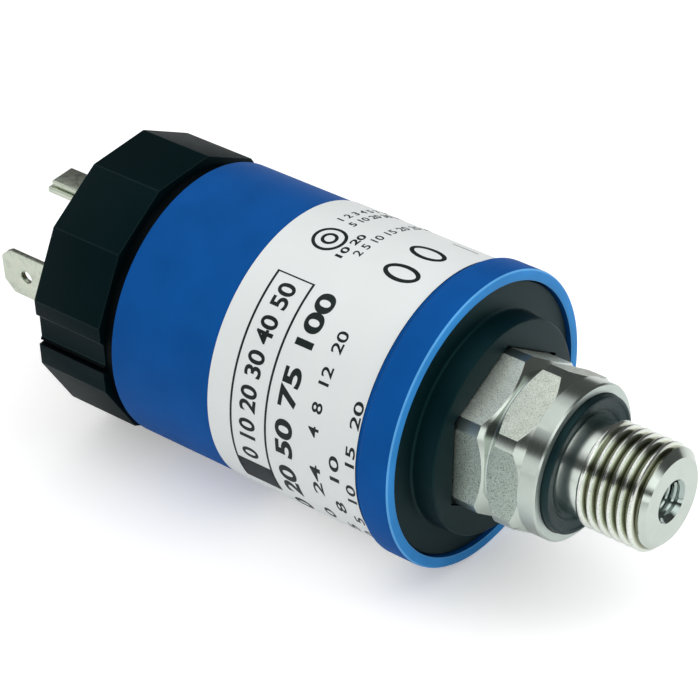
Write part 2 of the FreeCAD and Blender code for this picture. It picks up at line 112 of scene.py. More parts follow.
def drawLine(name, corners):
    # a line of edges in the XZ plane, drawn by extruding one point from corner to corner
    bpy.ops.object.select_all(action="DESELECT")
    bpy.ops.mesh.primitive_plane_add(size=mm, location=(corners[0][0] * mm, 0, corners[0][1] * mm))
    piece = bpy.context.object
    piece.name = name
    editMode(piece)
    bpy.ops.mesh.select_all(action="SELECT")
    bpy.ops.mesh.merge(type="CENTER")
    for start, end in zip(corners, corners[1:]):
        step = ((end[0] - start[0]) * mm, 0, (end[1] - start[1]) * mm)
        bpy.ops.mesh.extrude_region_move(TRANSFORM_OT_translate={"value": step})
    objectMode()
    settle(piece)
    return piece


def roundCorners(piece, corners):
    # corners are (x, radius, rounding); the point of the line at that place is bevelled
    editMode(piece)
    for x, radius, rounding in corners:
        pickVertices(piece, lambda p: abs(p.x - x) < 0.001 and abs(p.z - radius) < 0.001)
        bpy.ops.mesh.bevel(offset=rounding * mm, segments=4, affect="VERTICES")
    objectMode()


def turnedPiece(name, corners, steps=160, closed=True):
    # corners are (x, radius) or (x, radius, rounding), and the line is spun about the X axis
    line = list(corners)
    if closed:
        line.append(corners[0])
    piece = drawLine(name, line)
    cleanUp(piece)
    roundCorners(piece, [corner for corner in corners if len(corner) == 3])
    editMode(piece)
    bpy.ops.mesh.select_all(action="SELECT")
    bpy.ops.mesh.spin(steps=steps, angle=math.tau, center=(0, 0, 0), axis=(1, 0, 0))
    objectMode()
    cleanUp(piece)
    return piece


def applyModifier(piece, kind, **settings):
    selectOnly(piece)
    modifier = piece.modifiers.new(kind.lower(), kind)
    for key, value in settings.items():
        setattr(modifier, key, value)
    bpy.ops.object.modifier_apply(modifier=modifier.name)


def carve(piece, tool, operation="DIFFERENCE"):
    applyModifier(piece, "BOOLEAN", operation=operation, object=tool, solver="EXACT")
    bpy.data.objects.remove(tool)


def softenEdges(piece, width, segments=2, angle=25, slot=-1):
    # slot is the material slot of the new rounded faces
    applyModifier(piece, "BEVEL", width=width * mm, segments=segments, limit_method="ANGLE",
                  angle_limit=math.radians(angle), use_clamp_overlap=True, material=slot)


def joinPieces(pieces, name):
    bpy.ops.object.select_all(action="DESELECT")
    for piece in pieces:
        piece.select_set(True)
    bpy.context.view_layer.objects.active = pieces[0]
    if len(pieces) > 1:
        bpy.ops.object.join()
    pieces[0].name = name
    return pieces[0]


def boxPiece(name, low, high):
    middle = [(a + b) / 2 * mm for a, b in zip(low, high)]
    bpy.ops.object.select_all(action="DESELECT")
    bpy.ops.mesh.primitive_cube_add(size=1, location=middle)
    piece = bpy.context.object
    piece.scale = [abs(b - a) * mm for a, b in zip(low, high)]
    piece.name = name
    settle(piece)
    return piece


def rodPiece(name, radius, xFrom, xTo, y=0, z=0, vertices=64):
    bpy.ops.object.select_all(action="DESELECT")
    bpy.ops.mesh.primitive_cylinder_add(
        vertices=vertices, radius=radius * mm, depth=abs(xTo - xFrom) * mm,
        location=((xFrom + xTo) / 2 * mm, y * mm, z * mm), rotation=(0, math.pi / 2, 0))
    piece = bpy.context.object
    piece.name = name
    settle(piece)
    return piece


def copyTurned(piece, name, degrees):
    # a copy with its own mesh, turned about the X axis
    selectOnly(piece)
    bpy.ops.object.duplicate()
    copy = bpy.context.object
    copy.name = name
    copy.rotation_euler = (math.radians(degrees), 0, 0)
    settle(copy)
    return copy


def paintFaces(piece, finishes, choose):
    # finishes by name, and a test that names the finish of a face by its middle and normal
    for finish in finishes.values():
        piece.data.materials.append(finish)
    order = list(finishes)
    for face in piece.data.polygons:
        wanted = choose(face.center / mm, face.normal)
        if wanted:
            face.material_index = order.index(wanted)


def finishPiece(piece, material, slot, *nodes, angle=30):
    # smooth shading, its material, the body it rides on and the nodes it stands for
    selectOnly(piece)
    bpy.ops.object.shade_smooth_by_angle(angle=math.radians(angle))
    if material:
        piece.data.materials.clear()
        piece.data.materials.append(material)
    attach(piece, "root")
    if nodes:
        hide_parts(*nodes)


# material helpers

class Finish:
    # a node material whose nodes are added by short calls

    def __init__(self, name, color, roughness, metallic=0.0, specular=0.5, glossTint=(1, 1, 1)):
        self.material = bpy.data.materials.new(name)
        self.material.use_nodes = True
        self.nodes = self.material.node_tree.nodes
        self.links = self.material.node_tree.links
        self.shader = self.nodes["Principled BSDF"]
        self.shader.inputs["Base Color"].default_value = (*color, 1)
        self.shader.inputs["Roughness"].default_value = roughness
        self.shader.inputs["Metallic"].default_value = metallic
        self.shader.inputs["Specular IOR Level"].default_value = specular
        self.shader.inputs["Specular Tint"].default_value = (*glossTint, 1)
        self.place = self.node("ShaderNodeTexCoord").outputs["Object"]

    def node(self, kind, **settings):
        made = self.nodes.new(kind)
        for key, value in settings.items():
            setattr(made, key, value)
        return made

    def connect(self, source, target):
        self.links.new(source, target)

    def math(self, operation, first, second):
        made = self.node("ShaderNodeMath", operation=operation)
        for socket, value in zip(made.inputs, (first, second)):
            if isinstance(value, (int, float)):
                socket.default_value = value
            else:
                self.connect(value, socket)
        return made.outputs[0]

    def turnedPlace(self):
        # (place along the axis, distance from the axis, 0): rings on ends, rings on sides
        split = self.node("ShaderNodeSeparateXYZ")
        self.connect(self.place, split.inputs[0])
        flat = self.node("ShaderNodeCombineXYZ")
        self.connect(split.outputs["Y"], flat.inputs["Y"])
        self.connect(split.outputs["Z"], flat.inputs["Z"])
        length = self.node("ShaderNodeVectorMath", operation="LENGTH")
        self.connect(flat.outputs[0], length.inputs[0])
        rings = self.node("ShaderNodeCombineXYZ")
        self.connect(split.outputs["X"], rings.inputs["X"])
        self.connect(length.outputs["Value"], rings.inputs["Y"])
        return rings.outputs[0]

    def noise(self, scale, detail=3.0, roughness=0.5, place=None):
        made = self.node("ShaderNodeTexNoise")
        made.inputs["Scale"].default_value = scale
        made.inputs["Detail"].default_value = detail
        made.inputs["Roughness"].default_value = roughness
        self.connect(place or self.place, made.inputs["Vector"])
        return made.outputs[0]

    def ramp(self, source, stops):
        made = self.node("ShaderNodeValToRGB")
        stretch = made.color_ramp.elements
        stretch[0].position, stretch[0].color = stops[0][0], self.tone(stops[0][1])
        stretch[1].position, stretch[1].color = stops[-1][0], self.tone(stops[-1][1])
        for position, color in stops[1:-1]:
            stretch.new(position).color = self.tone(color)
        self.connect(source, made.inputs[0])
        return made.outputs[0]

    def tone(self, value):
        return (value, value, value, 1) if isinstance(value, (int, float)) else (*value, 1)

    def bump(self, layers):
        # layers are (height, distance in millimetres, strength)
        normal = None
        for height, distance, strength in layers:
            made = self.node("ShaderNodeBump")
            made.inputs["Distance"].default_value = distance * mm
            made.inputs["Strength"].default_value = strength
            self.connect(height, made.inputs["Height"])
            if normal:
                self.connect(normal, made.inputs["Normal"])
            normal = made.outputs[0]
        self.connect(normal, self.shader.inputs["Normal"])

    def color(self, source):
        self.connect(source, self.shader.inputs["Base Color"])

    def rough(self, source):
        self.connect(source, self.shader.inputs["Roughness"])


def turnedSteel(name, color, roughness, spread, depth):
    # fine rings left by the turning tool
    steel = Finish(name, color, roughness, metallic=1.0)
    rings = steel.turnedPlace()
    fine = steel.noise(9000, 2, 0.6, rings)
    broad = steel.noise(1500, 3, 0.6, rings)
    cloud = steel.noise(500, 4, 0.6)
    steel.rough(steel.ramp(steel.math("MULTIPLY_ADD", broad, 0.5), [
        (0.2, roughness - spread), (0.8, roughness + spread)]))
    steel.color(steel.ramp(cloud, [(0.3, [c * 0.93 for c in color]), (0.7, color)]))
    steel.bump([(broad, 0.004, depth), (fine, 0.002, depth)])
    return steel.material


def blastedSteel(name, color, pitScale=7600, darkness=0.5):
    # milled flats with small dark pits
    steel = Finish(name, color, 0.5, metallic=1.0)
    pits = steel.noise(pitScale, 3, 0.65)
    grain = steel.noise(12000, 2, 0.6)
    cloud = steel.noise(900, 3, 0.5)
    dark = [c * darkness for c in color]
    light = [min(1.0, c * 1.1) for c in color]
    steel.color(steel.ramp(pits, [(0.34, dark), (0.45, [c * 0.88 for c in color]), (0.62, light)]))
    steel.rough(steel.ramp(cloud, [(0.3, 0.42), (0.7, 0.56)]))
    steel.bump([(pits, 0.02, 0.6), (grain, 0.01, 0.5)])
    return steel.material


def threadSteel(name, color, root, crest):
    # cut thread: grained crests painted bright as a highlight, and painted shade on the flanks that
    # darkens towards the root
    steel = Finish(name, color, 0.16, metallic=1.0)
    rings = steel.turnedPlace()
    split = steel.node("ShaderNodeSeparateXYZ")
    steel.connect(rings, split.inputs[0])
    height = steel.node("ShaderNodeMapRange")
    height.inputs["From Min"].default_value = root * mm
    height.inputs["From Max"].default_value = crest * mm
    steel.connect(split.outputs["Y"], height.inputs["Value"])
    # painted light by height: darkest at the root as painted shade, brightest at the crest as a
    # painted highlight
    paintedRootShade = [c * k for c, k in zip(color, (0.20, 0.21, 0.15))]
    middle = [c * k for c, k in zip(color, (0.48, 0.48, 0.40))]
    flank = [c * k for c, k in zip(color, (0.90, 0.93, 0.86))]
    crestLightRootShade = steel.ramp(height.outputs[0], [
        (0.0, paintedRootShade), (0.22, paintedRootShade), (0.45, middle), (0.68, flank), (1.0, color)])
    speckle = steel.ramp(steel.noise(8000, 2, 0.7), [(0.36, 0.5), (0.56, 1.0)])
    grained = steel.node("ShaderNodeMix", data_type="RGBA", blend_type="MULTIPLY")
    onCrest = steel.ramp(height.outputs[0], [(0.6, 0.0), (0.9, 0.75)])
    steel.connect(onCrest, grained.inputs["Factor"])
    steel.connect(crestLightRootShade, grained.inputs["A"])
    steel.connect(speckle, grained.inputs["B"])
    steel.color(grained.outputs["Result"])
    lands = steel.noise(9000, 3, 0.7)
    steel.rough(steel.ramp(height.outputs[0], [
        (0.0, 0.28), (0.5, 0.10), (0.86, 0.09), (0.95, 0.17)]))
    steel.bump([(lands, 0.01, 0.5)])
    return steel.material


def platedSheet(name, color):
    # stamped sheet with a mottled tin coat
    sheet = Finish(name, color, 0.3, metallic=1.0)
    mottle = sheet.noise(900, 4, 0.6)
    warm = [c * k for c, k in zip(color, (1.02, 0.97, 0.96))]
    dull = [c * 0.84 for c in color]
    sheet.color(sheet.ramp(mottle, [(0.34, dull), (0.5, color), (0.66, warm)]))
    sheet.rough(sheet.ramp(sheet.noise(1500, 3, 0.6), [(0.3, 0.24), (0.7, 0.38)]))
    sheet.bump([(mottle, 0.02, 0.3), (sheet.noise(6000, 2, 0.5), 0.008, 0.3)])
    return sheet.material


def mouldedPlastic(name, color, roughness, specular, grainSize, grainDepth,
                   glossTint=(1, 1, 1), spread=0.09):
    # satin moulding: a fine sparked grain, and clouds of a slightly different tone
    plastic = Finish(name, color, roughness, specular=specular, glossTint=glossTint)
    grain = plastic.noise(1 / (grainSize * mm), 3, 0.6)
    cloud = plastic.noise(160, 3, 0.5)
    dark = [c * (1 - spread) for c in color]
    light = [min(1.0, c * (1 + spread)) for c in color]
    plastic.color(plastic.ramp(cloud, [(0.3, dark), (0.7, light)]))
    plastic.rough(plastic.ramp(grain, [(0.3, roughness - 0.06), (0.7, roughness + 0.08)]))
    plastic.bump([(grain, grainSize * 0.4, grainDepth)])
    return plastic.material


steelTurned = turnedSteel("steelTurned", (0.575, 0.645, 0.595), 0.17, 0.04, 0.35)
steelPolished = turnedSteel("steelPolished", (0.60, 0.67, 0.61), 0.11, 0.03, 0.2)
steelBlasted = blastedSteel("steelBlasted", (0.78, 0.85, 0.77))
steelBlastedFront = blastedSteel("steelBlastedFront", (0.80, 0.86, 0.76))
# a darker copy of the blasted steel: painted shade on the hexagons' flats that don't face up
steelBlastedShaded = blastedSteel("steelBlastedShaded", (0.48, 0.56, 0.50), 6000, 0.25)
# its bright colour is the painted highlight of the crests
steelThread = threadSteel("steelThread", (0.93, 0.97, 0.92), 5.64, 6.5)
# a dark copy of the turned steel: painted shade on the rear hexagon's turned corner strips
steelStripShaded = turnedSteel("steelStripShaded", (0.34, 0.42, 0.41), 0.3, 0.05, 0.6)
# a lighter copy of the turned steel: painted light on the neck
steelNeckLit = turnedSteel("steelNeckLit", (0.78, 0.85, 0.79), 0.17, 0.04, 0.3)
steelFace = turnedSteel("steelFace", (0.62, 0.70, 0.66), 0.4, 0.04, 0.3)
# a darker copy of the turned steel: painted shade inside the port's bore
steelPortShaded = turnedSteel("steelPortShaded", (0.42, 0.50, 0.47), 0.07, 0.02, 0.2)
blueShell = mouldedPlastic(
    "blueShell", (0.005, 0.079, 0.305), 0.5, 0.035, 0.16, 0.25, (0.12, 0.5, 1.0))
# lighter copies of the blue moulding: painted light on the rim's front face, and a painted
# highlight on its rounded edges
blueFrontLit = mouldedPlastic(
    "blueFrontLit", (0.036, 0.245, 0.61), 0.45, 0.1, 0.16, 0.25, (0.3, 0.7, 1.0))
blueEdgeHighlight = mouldedPlastic(
    "blueEdgeHighlight", (0.10, 0.36, 0.72), 0.4, 0.3, 0.16, 0.25, (0.5, 0.8, 1.0))
blackMoulded = mouldedPlastic(
    "blackMoulded", (0.0012, 0.0050, 0.0062), 0.5, 0.16, 0.11, 0.5, (0.3, 0.8, 0.85))
blackFront = mouldedPlastic(
    "blackFront", (0.0006, 0.0072, 0.0088), 0.42, 0.25, 0.11, 0.5, (0.3, 0.85, 0.9))
blackCap = mouldedPlastic(
    "blackCap", (0.0007, 0.0053, 0.0067), 0.5, 0.09, 0.11, 0.5, (0.3, 0.8, 0.85))
blackEdge = mouldedPlastic(
    "blackEdge", (0.0026, 0.0095, 0.0105), 0.45, 0.15, 0.2, 0.8, (0.5, 0.9, 0.95))
# a darker black: painted shade in the groove behind the cap and in the slit of its channel
blackNeckShade = mouldedPlastic("blackNeckShade", (0.0003, 0.0016, 0.0022), 0.55, 0.05, 0.2, 0.3)
blackSeal = mouldedPlastic(
    "blackSeal", (0.0015, 0.0060, 0.0072), 0.42, 0.5, 0.3, 0.15, (0.35, 0.8, 0.85), 0.3)
labelFilm = mouldedPlastic(
    "labelFilm", (0.74, 0.775, 0.77), 0.42, 0.3, 0.25, 0.05, (1, 1, 1), 0.012)
printInk = mouldedPlastic("printInk", (0.006, 0.012, 0.012), 0.5, 0.25, 0.1, 0.2)
brassTurned = turnedSteel("brassTurned", (0.72, 0.52, 0.22), 0.25, 0.06, 0.3)
tinPlated = platedSheet("tinPlated", (0.70, 0.77, 0.65))
ventFelt = mouldedPlastic("ventFelt", (0.70, 0.70, 0.67), 0.8, 0.2, 0.08, 0.8)
springWire = turnedSteel("springWire", (0.36, 0.36, 0.35), 0.35, 0.08, 0.3)
cellAlumina = mouldedPlastic("cellAlumina", (0.74, 0.72, 0.65), 0.45, 0.4, 0.1, 0.3)
leadTin = blastedSteel("leadTin", (0.62, 0.60, 0.54))
boardLacquer = mouldedPlastic("boardLacquer", (0.004, 0.045, 0.016), 0.35, 0.4, 0.4, 0.2)
carrierGrey = mouldedPlastic("carrierGrey", (0.055, 0.058, 0.06), 0.5, 0.3, 0.15, 0.3)
chipResin = mouldedPlastic("chipResin", (0.006, 0.006, 0.007), 0.55, 0.3, 0.08, 0.4)
capacitorClay = mouldedPlastic("capacitorClay", (0.30, 0.18, 0.09), 0.5, 0.35, 0.12, 0.3)
print("finishes made")


# process fitting: threaded stud, collar and two hexagons, one steel turning

fitting = {
    "steps": 160,
    "joinAt": 1.5,  # where the stud's mesh meets the collar's
    "bore": 2.1,
    "neck": 5.85,
    "root": ((1.1, 5.87), (0.75, 5.93), (0.45, 6.02), (0.2, 6.13)),  # the neck widens here
    "recess": (8.55, 1.5),
    "collar": (9.65, 2.3),
    "chamferEnd": -3.3,
    "turned": 10.55,
    "groove": (-5.8, -6.925, -7.125, -8.25, 9.15),
    "hexEnd": -11.5,  # inside the boss's pocket
    "shank": (8.0, -20.0),
    "acrossFlats": 19.0,
    "hexTurn": 23.6,
    "edge": 0.1,
}
thread = {
    "pitch": 1.337,
    "crest": 6.5,
    "phase": -0.3,
    "rounding": 0.1,
    "land": 0.06,  # half the flat of a crest
    "flank": 27.5,
    "height": 0.856,
    "start": 3.0,
    "fadeIn": 0.4,
    "runOut": (3.15, 4.35),  # the groove deepens between these
    "tip": 11.9,
    "tipRadius": 5.28,
    "chamferFrom": 10.85,
}
portThread = {
    "pitch": 0.8,
    "crest": 2.52,
    "phase": 0.0,
    "rounding": 0.06,
    "land": 0.0,
    "flank": 30.0,
    "height": 0.4,
    "start": 4.6,
    "fadeIn": 0.5,
    "tip": 11.9,
    "tipRadius": 2.68,
    "chamferFrom": 11.35,
}


def toothLine(form):
    # one tooth after another: crest with rounded corners, straight flank, rounded root
    flank = math.radians(form["flank"])
    half = form["pitch"] / 2
    bend = [math.pi / 2 - flank - k * (math.pi / 2 - flank) / 3 for k in range(4)]
    land, rounding = form["land"], form["rounding"]
    crestArc = [(-land - rounding * math.sin(a), rounding * (1 - math.cos(a))) for a in bend]
    last = -2 if land == 0 else -1
    tooth = crestArc + [(-x, drop) for x, drop in crestArc[last::-1]]
    rootArc = [(half + x, form["height"] - drop) for x, drop in tooth]
    falling = [(tooth[-1][0] + (rootArc[0][0] - tooth[-1][0]) * k / 4,
                tooth[-1][1] + (rootArc[0][1] - tooth[-1][1]) * k / 4) for k in (1, 2, 3)]
    rising = [(rootArc[-1][0] + (2 * half + tooth[0][0] - rootArc[-1][0]) * k / 4,
               rootArc[-1][1] + (tooth[0][1] - rootArc[-1][1]) * k / 4) for k in (1, 2, 3)]
    onePitch = tooth + falling + rootArc + rising
    count = math.ceil((form["tip"] - form["start"]) / form["pitch"]) + 3
    line = []
    for index in range(count):
        shift = form["start"] + form["phase"] - (1.5 - index) * form["pitch"]
        line += [(x + shift, form["crest"] - drop) for x, drop in onePitch]
    return line


def threadSkin(name, form, core, steps, inward):
    # the tooth line is screwed round the axis, faded into the core and cut to the tip's chamfer
    skin = drawLine(name, toothLine(form))
    applyModifier(skin, "SCREW", axis="X", angle=math.tau, steps=steps, render_steps=steps,
                  screw_offset=form["pitch"] * mm, iterations=1, use_merge_vertices=False)
    slope = (form["crest"] - form["tipRadius"]) / (form["tip"] - form["chamferFrom"])
    if inward:
        slope = (form["tipRadius"] - core) / (form["tip"] - form["chamferFrom"])
    for vertex in skin.data.vertices:
        x, y, z = vertex.co / mm
        radius = math.hypot(y, z)
        cut = min(max(x, form["start"]), form["tip"])
        if form["tip"] - cut < 0.03:  # no slivers at the tip
            cut = form["tip"]
        if "runOut" in form:
            deepening = (cut - form["runOut"][0]) / (form["runOut"][1] - form["runOut"][0])
            radius = form["crest"] - (form["crest"] - radius) * min(max(deepening, 0), 1)
        fade = min(max((cut - form["start"]) / form["fadeIn"], 0), 1)
        fade = fade * fade * (3 - 2 * fade)
        wanted = core + (radius - core) * fade
        if inward:
            wanted = max(wanted, form["tipRadius"] - (form["tip"] - cut) * slope)
        else:
            wanted = min(wanted, form["tipRadius"] + (form["tip"] - cut) * slope)
        far = math.hypot(y, z)
        vertex.co = (cut * mm, y / far * wanted * mm, z / far * wanted * mm)
    cleanUp(skin, 0.002)
    return skin


def hexPrism(halfFlats, xFrom, xTo, ends):
    # six-sided, turned as the hexagons are
    bpy.ops.object.select_all(action="DESELECT")
    bpy.ops.mesh.primitive_cylinder_add(
        vertices=6, radius=halfFlats / math.cos(math.pi / 6) * mm, depth=(xTo - xFrom) * mm,
        end_fill_type=ends, location=((xFrom + xTo) / 2 * mm, 0, 0), rotation=(0, math.pi / 2, 0))
    prism = bpy.context.object
    settle(prism)
    side = next(face.normal for face in prism.data.polygons if abs(face.normal.x) < 0.5)
    offset = -math.degrees(math.atan2(-side.y, side.z)) % 60
    prism.rotation_euler = (math.radians(fitting["hexTurn"] + offset), 0, 0)
    settle(prism)
    return prism


def hexCutter(xFrom, xTo):
    # a six-sided tube that takes the flats off what it covers
    cutter = hexPrism(fitting["acrossFlats"] / 2, xFrom, xTo, "NOTHING")
    cleanUp(cutter)
    applyModifier(cutter, "SOLIDIFY", thickness=4 * mm, offset=1, use_even_offset=True)
    return cutter


collarBody = turnedPiece("collarBody", [
    (fitting["joinAt"], fitting["bore"]),
    (fitting["joinAt"], fitting["neck"]),
    *fitting["root"],
    (-fitting["recess"][1], fitting["root"][-1][1]),
    (-fitting["recess"][1], fitting["recess"][0]),
    (0, fitting["recess"][0]),
    (0, fitting["collar"][0] - 0.2),
    (-0.2, fitting["collar"][0]),
    (-fitting["collar"][1], fitting["collar"][0]),
    (fitting["chamferEnd"], fitting["turned"]),
    (fitting["groove"][0], fitting["turned"]),
    (fitting["groove"][1], fitting["groove"][4]),
    (fitting["groove"][2], fitting["groove"][4]),
    (fitting["groove"][3], fitting["turned"]),
    (fitting["hexEnd"], fitting["turned"]),
    (fitting["hexEnd"], fitting["shank"][0]),
    (fitting["shank"][1], fitting["shank"][0]),
    (fitting["shank"][1], fitting["bore"]),
], fitting["steps"])
carve(collarBody, hexCutter(fitting["hexEnd"] - 1, -fitting["collar"][1]))
cleanUp(collarBody)
editMode(collarBody)
pickFaces(collarBody, lambda c, n: abs(c.x - fitting["joinAt"]) < 0.01)
bpy.ops.mesh.delete(type="FACE")
objectMode()
softenEdges(collarBody, fitting["edge"])

studSkin = threadSkin("studSkin", thread, fitting["neck"], fitting["steps"], False)
portSkin = threadSkin("portSkin", portThread, fitting["bore"], fitting["steps"], True)
for skin, form in ((studSkin, thread), (portSkin, portThread)):
    editMode(skin)
    pickVertices(skin, lambda p: abs(p.x - form["start"]) < 0.001)
    firstStep = -0.08  # it keeps the shading of the long step even
    for reach in (firstStep, fitting["joinAt"] - form["start"] - firstStep):
        bpy.ops.mesh.extrude_region_move(TRANSFORM_OT_translate={"value": (reach * mm, 0, 0)})
    objectMode()
stud = joinPieces([studSkin, portSkin], "stud")
editMode(stud)
pickVertices(stud, lambda p: abs(p.x - thread["tip"]) < 0.001)
bpy.ops.mesh.bridge_edge_loops()
objectMode()
fittingPiece = joinPieces([collarBody, stud], "processFitting")
cleanUp(fittingPiece, 0.003)

fittingFinishes = {
    "turned": steelTurned,
    "rearFlatAbove": steelBlasted,
    "polished": steelPolished,
    "flatBelow": steelBlastedShaded,
    "thread": steelThread,
    "cornerStrip": steelStripShaded,
    "port": steelPortShaded,
    "neck": steelNeckLit,
    "frontFlatAbove": steelBlastedFront,
    "collarFace": steelFace,
}


def onTipChamfer(middle):
    rise = (thread["crest"] - thread["tipRadius"]) / (thread["tip"] - thread["chamferFrom"])
    line = thread["tipRadius"] + (thread["tip"] - middle.x) * rise
    return abs(math.hypot(middle.y, middle.z) - line) < 0.03


def hexagonFinish(middle, normal):
    radial = Vector((0, middle.y, middle.z)).normalized().dot(normal)
    reach = middle.y * normal.y + middle.z * normal.z
    atRear = middle.x < fitting["groove"][2]
    if abs(normal.x) < 0.02 and abs(reach - fitting["acrossFlats"] / 2) < 0.02:
        # flats that don't face up get the painted shade
        if normal.z < 0.5:
            return "flatBelow"
        return "rearFlatAbove" if atRear else "frontFlatAbove"
    # the rear hexagon's corner strips get the painted shade
    if atRear and radial > 0.999:
        return "cornerStrip"
    return "polished" if abs(normal.x) > 0.3 or radial < 0.999 else None


def fittingFinish(middle, normal):
    radius = math.hypot(middle.y, middle.z)
    if fitting["hexEnd"] < middle.x < -fitting["collar"][1]:
        found = hexagonFinish(middle, normal)
        if found:
            return found
    if 3.2 < middle.x < thread["tip"] - 0.05 and radius > 5.5 and not onTipChamfer(middle):
        return "thread"
    # painted shade inside the bore
    if radius < portThread["tipRadius"] and abs(normal.x) < 0.999:
        return "port"
    if abs(middle.x) < 0.05 and radius > fitting["recess"][0]:
        return "collarFace"
    # the neck gets the painted light
    if 0 < middle.x < 3.05:
        return "neck"
    return "polished" if middle.x > 0.5 else "turned"


paintFaces(fittingPiece, fittingFinishes, fittingFinish)
finishPiece(fittingPiece, None, "stainless", "pressure_fitting", angle=28)
print("process fitting made:", len(fittingPiece.data.polygons), "faces")


# seal ring in the collar's recess

seal = {
    "floor": -1.5,
    "outer": 8.45,
    "inner": 6.15,
    "reach": 0.85,  # front of the outer lip
    "lip": 7.95,
    "face": 0.7,
    "trough": 0.2,
}
sealRing = turnedPiece("portSeal", [
    (seal["floor"], seal["inner"]),
    (seal["floor"], seal["outer"]),
    (seal["reach"], seal["outer"], 0.28),
    (seal["reach"], seal["lip"], 0.1),
    (seal["face"], seal["lip"] - 0.15, 0.1),
    (seal["face"] - 0.12, 6.85, 0.2),
    (seal["trough"], 6.55, 0.12),
    (seal["trough"] - 0.12, seal["inner"]),
])
finishPiece(sealRing, blackSeal, "seal_rubber", "port_seal_ring")
print("seal ring made")


# front disc with its boss

disc = {
    "hole": 8.1,
    "face": -11.2,
    "boss": (13.35, 13.45),
    "step": -14.3,
    "radius": 17.0,
    "back": -16.3,
    "fillet": 0.35,
    "pocket": (9.75, -11.8),  # half across flats and floor of the pocket that the hexagon stands in
}
frontDisc = turnedPiece("frontDisc", [
    (disc["face"], disc["hole"]),
    (disc["face"], disc["boss"][0], 0.2),
    (disc["step"], disc["boss"][1], disc["fillet"]),
    (disc["step"], disc["radius"], 0.2),
    (disc["back"], disc["radius"]),
    (disc["back"], disc["hole"]),
])
pocketFlats, pocketFloor = disc["pocket"]
carve(frontDisc, hexPrism(pocketFlats, pocketFloor, pocketFloor + 2, "NGON"))
cleanUp(frontDisc)
finishPiece(frontDisc, blackFront, "black_plastic", "front_disc")
print("front disc made")


# blue sleeve with the raised rim

sleeve = {
    "rimFront": -13.8,
    "rimBack": -17.9,
    "bodyFront": -18.5,
    "rear": -56.2,
    "rim": 18.5,
    "body": 17.7,
    "mouth": 17.1,
    "bore": 15.9,
    "flange": (-16.3, -17.5, 13.6),
}
sleevePiece = turnedPiece("blueSleeve", [
    (sleeve["rimFront"], sleeve["mouth"], 0.12),
    (sleeve["rimFront"], sleeve["rim"], 0.32),
    (sleeve["rimBack"], sleeve["rim"], 0.15),
    (sleeve["bodyFront"], sleeve["body"], 0.1),
    (sleeve["rear"], sleeve["body"], 0.2),
    (sleeve["rear"], sleeve["bore"]),
    (sleeve["flange"][1], sleeve["bore"]),
    (sleeve["flange"][1], sleeve["flange"][2]),
    (sleeve["flange"][0], sleeve["flange"][2]),
    (sleeve["flange"][0], sleeve["mouth"]),
], 192)


def sleeveFinish(middle, normal):
    onRim = middle.x > -15 and math.hypot(middle.y, middle.z) > sleeve["mouth"] - 0.1
    # the rim's front face gets the painted light, its rounded edges the painted highlight
    if onRim and normal.x > 0.2:
        return "front" if normal.x > 0.97 else "edge"
    return "shell"


paintFaces(sleevePiece, {"shell": blueShell, "front": blueFrontLit, "edge": blueEdgeHighlight}, sleeveFinish)
finishPiece(sleevePiece, None, "blue_plastic", "housing_sleeve")
print("sleeve made")


# wrap label and its print

label = {
    "front": -18.9,
    "back": -40.9,
    "body": 17.7,
    "thickness": 0.12,
    "gapFrom": 210,  # degrees from the top towards -Y
    "gap": 6,
    "steps": 190,
}
film = drawLine("wrapLabel", [
    (label["front"], label["body"]), (label["front"], label["body"] + label["thickness"]),
    (label["back"], label["body"] + label["thickness"]), (label["back"], label["body"]),
    (label["front"], label["body"])])
cleanUp(film)
editMode(film)
bpy.ops.mesh.select_all(action="SELECT")
bpy.ops.transform.rotate(value=-math.radians(label["gapFrom"]), orient_axis="X",
                         center_override=(0, 0, 0))
bpy.ops.mesh.spin(steps=label["steps"], angle=math.radians(360 - label["gap"]),
                  center=(0, 0, 0), axis=(1, 0, 0))
bpy.ops.mesh.select_all(action="SELECT")
bpy.ops.mesh.fill_holes(sides=4)
objectMode()
cleanUp(film)
# the label's cut ends are painted with the dark edge black: a painted shadow line along the label's
# ends
paintFaces(film, {"film": labelFilm, "cutEdge": blackEdge},
           lambda middle, normal: "cutEdge" if abs(normal.x) > 0.9 else "film")
finishPiece(film, None, "label_white", "wrap_label")

ink = {
    "radius": 17.82,
    "lift": 0.004,  # above the film
    "height": 0.012,
    "cut": 0.6,  # the print is cut this fine before it is wrapped
}
printed = []


def alongLabel(degrees):
    # reading runs up the front of the body, from large angles to small ones
    return -math.radians(degrees) * ink["radius"]


def printBar(angleFrom, angleTo, xFrom, xTo):
    printed.append(boxPiece("bar", (alongLabel(angleFrom), -xFrom, 0),
                            (alongLabel(angleTo), -xTo, ink["height"])))


def printFigures(text, angleFrom, angleTo, xTop, xBase, weight=0.0):
    # plain figures, fitted between two angles, with their feet at xBase and tops at xTop
    bpy.ops.object.select_all(action="DESELECT")
    bpy.ops.object.text_add()
    figures = bpy.context.object
    figures.data.body = text
    figures.data.offset = weight
    bpy.ops.object.convert(target="MESH")
    figures = bpy.context.object
    xs = [vertex.co.x for vertex in figures.data.vertices]
    ys = [vertex.co.y for vertex in figures.data.vertices]
    low, high = alongLabel(angleFrom), alongLabel(angleTo)
    stretchX = (high - low) / (max(xs) - min(xs))
    stretchY = (xBase - xTop) / (max(ys) - min(ys))
    for vertex in figures.data.vertices:
        vertex.co = ((low + (vertex.co.x - min(xs)) * stretchX) * mm,
                     (-xBase + (vertex.co.y - min(ys)) * stretchY) * mm, 0)
    applyModifier(figures, "SOLIDIFY", thickness=ink["height"] * mm, offset=1)
    printed.append(figures)


